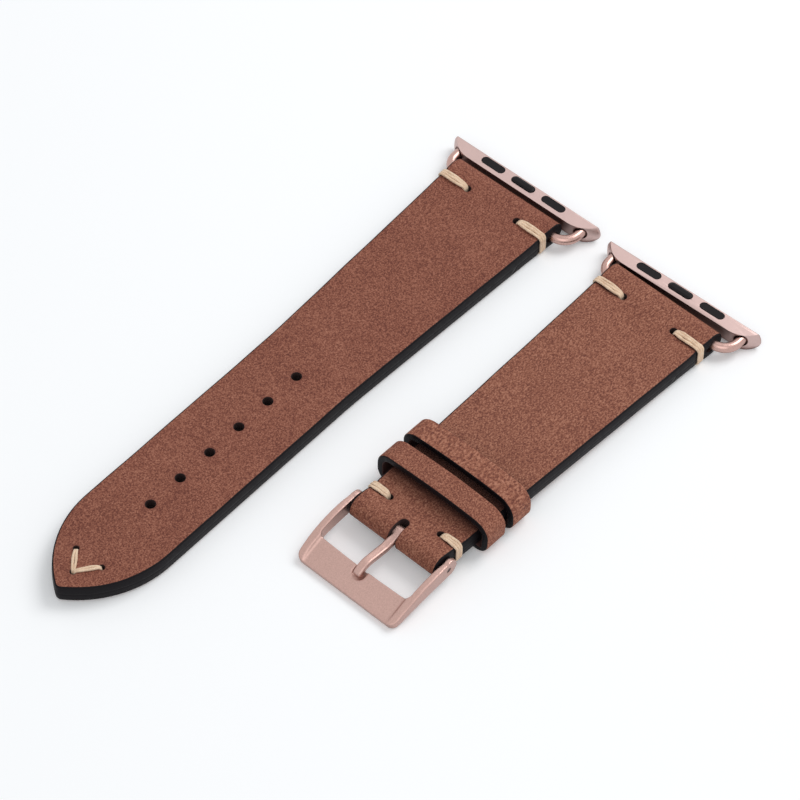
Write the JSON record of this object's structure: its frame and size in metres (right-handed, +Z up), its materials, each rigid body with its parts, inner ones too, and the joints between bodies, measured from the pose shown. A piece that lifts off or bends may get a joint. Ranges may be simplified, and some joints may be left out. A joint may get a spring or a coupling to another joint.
{
  "type": "leather watch strap",
  "caption": "Two-piece leather watch strap with hinged slide-in case adapters, sewn loops, a fixed and a sliding keeper, and a pin buckle on a sprung bar.",
  "frame": {"origin": "on the table, under the middle of the box round both halves as they lie side by side", "axes": "+X along the long half towards the watch, +Y across it towards the wearer's left, +Z up from the table, with the leather's grain side up"},
  "size_m": [0.1102, 0.065, 0.0074],
  "materials": {
    "top_leather": "matt, fine pebble grain, edges painted black",
    "lining_leather": "matt, smooth",
    "keeper_leather": "matt, pebble grain, edges painted black",
    "waxed_thread": "waxed, cream",
    "adapter_metal": "satin, light rose gold coating",
    "bail_metal": "polished, rose gold coating",
    "pad_rubber": "black, satin",
    "button_plastic": "black, satin",
    "buckle_metal": "brushed, rose gold coating",
    "spring_steel": "bright"
  },
  "bodies": {
    "long_strap": {"long_top_leather": "top_leather", "long_lining": "lining_leather", "tip_stitch": "waxed_thread", "long_lug_stitch_left": "waxed_thread", "long_lug_stitch_right": "waxed_thread"},
    "long_adapter": {"long_adapter_body": "adapter_metal", "long_bail": "bail_metal", "long_pad_left": "pad_rubber", "long_pad_right": "pad_rubber", "long_detent_leaf_spring": "spring_steel"},
    "long_detent": {"long_detent_button": "button_plastic"},
    "short_strap": {"short_top_leather": "top_leather", "short_lining": "lining_leather", "short_lug_stitch_left": "waxed_thread", "short_lug_stitch_right": "waxed_thread", "short_buckle_stitch_left": "waxed_thread", "short_buckle_stitch_right": "waxed_thread", "fixed_keeper": "keeper_leather", "spring_bar_tube": "spring_steel", "spring_bar_spring": "spring_steel"},
    "short_adapter": {"short_adapter_body": "adapter_metal", "short_bail": "bail_metal", "short_pad_left": "pad_rubber", "short_pad_right": "pad_rubber", "short_detent_leaf_spring": "spring_steel"},
    "short_detent": {"short_detent_button": "button_plastic"},
    "free_keeper": {"free_keeper": "keeper_leather"},
    "buckle": {"buckle_frame": "buckle_metal"},
    "tongue": {"buckle_tongue": "buckle_metal"},
    "left_bar_tip": {"spring_bar_tip_left": "spring_steel"},
    "right_bar_tip": {"spring_bar_tip_right": "spring_steel"}
  },
  "joints": [
    {"name": "long_lug_hinge", "type": "hinge", "parent": "long_strap", "child": "long_adapter", "pos_m": [0.04943, 0.0168, 0.002], "axis": [0, 1, 0], "range_deg": [-75, 75]},
    {"name": "short_half_lift", "type": "slide", "parent": "long_strap", "child": "short_strap", "axis": [0, 0, 1], "range_m": [0, 0.03]},
    {"name": "short_lug_hinge", "type": "hinge", "parent": "short_strap", "child": "short_adapter", "pos_m": [0.04888, -0.0169, 0.002], "axis": [-0.0164, 0.9999, 0.0007], "range_deg": [-75, 75]},
    {"name": "free_keeper_slide", "type": "slide", "parent": "short_strap", "child": "free_keeper", "axis": [0.9996, -0.0202, -0.0182], "range_m": [-0.0015, 0.01]},
    {"name": "buckle_hinge", "type": "hinge", "parent": "short_strap", "child": "buckle", "pos_m": [-0.01289, -0.01507, 0.00312], "axis": [0.0202, 0.9998, 0], "range_deg": [-62, 38]},
    {"name": "tongue_hinge", "type": "hinge", "parent": "buckle", "child": "tongue", "pos_m": [-0.01289, -0.01507, 0.00312], "axis": [0.0202, 0.9998, 0], "range_deg": [0, 55]},
    {"name": "long_detent_press", "type": "slide", "parent": "long_adapter", "child": "long_detent", "axis": [0, 0, -1], "range_m": [0, 0.0006], "stiffness_N_per_m": 1200, "deforming": ["long_detent_leaf_spring"]},
    {"name": "short_detent_press", "type": "slide", "parent": "short_adapter", "child": "short_detent", "axis": [-0.0181, 0.0004, -0.9998], "range_m": [0, 0.0006], "stiffness_N_per_m": 1200, "deforming": ["short_detent_leaf_spring"]},
    {"name": "left_bar_tip_press", "type": "slide", "parent": "short_strap", "child": "left_bar_tip", "axis": [-0.0202, -0.9998, 0], "range_m": [0, 0.001], "stiffness_N_per_m": 800, "deforming": ["spring_bar_spring"]},
    {"name": "right_bar_tip_press", "type": "slide", "parent": "short_strap", "child": "right_bar_tip", "axis": [0.0202, 0.9998, 0], "range_m": [0, 0.001], "stiffness_N_per_m": 800, "deforming": ["spring_bar_spring"]}
  ]
}
